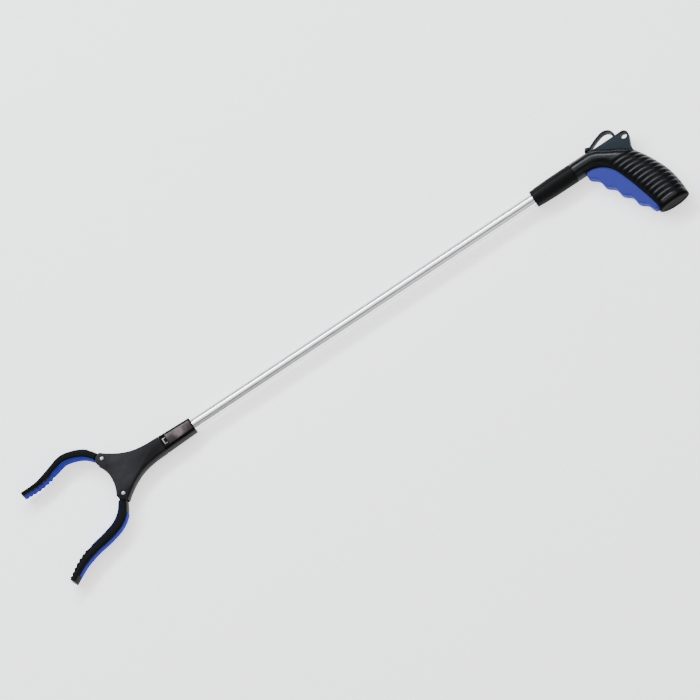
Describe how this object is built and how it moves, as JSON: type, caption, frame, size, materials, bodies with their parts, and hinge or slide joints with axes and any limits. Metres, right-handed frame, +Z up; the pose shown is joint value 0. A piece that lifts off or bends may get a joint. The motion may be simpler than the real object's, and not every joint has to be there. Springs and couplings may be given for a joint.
{
  "type": "reacher grabber",
  "caption": "Long-handled reacher: a pistol-grip trigger pulls a rod through an aluminium tube to close curved rubber-lined jaws on a turning head.",
  "frame": {"origin": "middle of the bounding box on the surface that the tool lies on", "axes": "+X along the tube towards the handle, +Y towards the hang eye and the upper jaw, +Z up, across the jaws, with the tool lying on its side"},
  "size_m": [0.7644, 0.1438, 0.0269],
  "materials": {
    "collar_black": "semi-gloss",
    "crosshead_nylon": "smooth",
    "drive_pin_steel": "ground",
    "guide_nylon": "smooth",
    "handle_gloss_black": "polished moulded",
    "head_black": "satin moulded",
    "link_pin_steel": "ground",
    "lock_steel": "bright",
    "lower_black": "satin moulded",
    "lower_pad_blue": "matt",
    "lower_strip_blue": "matt",
    "panel_smoked": "smoked gloss",
    "plate_grey_black": "satin moulded",
    "rivet_steel": "satin",
    "rod_end_nylon": "smooth",
    "rod_steel": "satin",
    "screw_steel": "plated",
    "sleeve_matt_black": "fine texture",
    "spring_steel": "satin",
    "trigger_blue": "satin moulded",
    "tube_aluminium": "satin",
    "upper_black": "satin moulded",
    "upper_pad_blue": "matt",
    "upper_strip_blue": "matt"
  },
  "bodies": {
    "handle_and_tube": {"handle_shell_front": "handle_gloss_black", "handle_shell_back": "handle_gloss_black", "hang_plate": "plate_grey_black", "grip_end_cap": "handle_gloss_black", "barrel_sleeve": "sleeve_matt_black", "tube": "tube_aluminium", "rod_guide": "guide_nylon", "collar": "collar_black", "collar_panel": "panel_smoked", "lock_leaf": "lock_steel", "collar_rivet": "lock_steel", "shell_screw_1": "screw_steel", "shell_screw_2": "screw_steel", "shell_screw_3": "screw_steel", "trigger_pin": "screw_steel"},
    "trigger": {"trigger": "trigger_blue", "link_pin": "link_pin_steel"},
    "pull_rod": {"pull_rod": "rod_steel", "rod_end": "rod_end_nylon"},
    "head": {"head_shell_front": "head_black", "head_shell_back": "head_black", "rivet_upper": "rivet_steel", "rivet_lower": "rivet_steel", "return_spring": "spring_steel", "spring_washer": "rivet_steel"},
    "crosshead": {"crosshead": "crosshead_nylon", "drive_pin": "drive_pin_steel"},
    "upper_jaw": {"upper_jaw": "upper_black", "upper_jaw_pad": "upper_pad_blue", "upper_jaw_strip": "upper_strip_blue"},
    "lower_jaw": {"lower_jaw": "lower_black", "lower_jaw_pad": "lower_pad_blue", "lower_jaw_strip": "lower_strip_blue"}
  },
  "joints": [
    {"name": "trigger_pull", "type": "hinge", "parent": "handle_and_tube", "child": "trigger", "pos_m": [0.35726, -0.06188, 0.01347], "axis": [0, 0, -1], "range_deg": [0, 10.03], "stiffness_Nm_per_rad": 6.4, "springref_deg": -5.73},
    {"name": "rod_slide", "type": "slide", "parent": "handle_and_tube", "child": "pull_rod", "axis": [1, 0, 0], "range_m": [0, 0.0142]},
    {"name": "head_turn", "type": "hinge", "parent": "handle_and_tube", "child": "head", "pos_m": [-0.22474, 0.01912, 0.01347], "axis": [1, 0, 0], "range_deg": [0, 90]},
    {"name": "crosshead_slide", "type": "slide", "parent": "head", "child": "crosshead", "axis": [1, 0, 0], "range_m": [0, 0.0142], "deforming": ["return_spring"]},
    {"name": "upper_jaw_hinge", "type": "hinge", "parent": "head", "child": "upper_jaw", "pos_m": [-0.28674, 0.04212, 0.01347], "axis": [0, 0, 1], "range_deg": [0, 24.1]},
    {"name": "lower_jaw_hinge", "type": "hinge", "parent": "head", "child": "lower_jaw", "pos_m": [-0.28674, -0.00388, 0.01347], "axis": [0, 0, -1], "range_deg": [0, 38.2]}
  ],
  "couplings": [
    {"joint": "rod_slide", "follows": "trigger_pull", "m_per_rad": 0.079974},
    {"joint": "crosshead_slide", "follows": "trigger_pull", "m_per_rad": 0.079974},
    {"joint": "upper_jaw_hinge", "follows": "trigger_pull", "ratio": 2.3928},
    {"joint": "lower_jaw_hinge", "follows": "trigger_pull", "ratio": 3.7986}
  ]
}
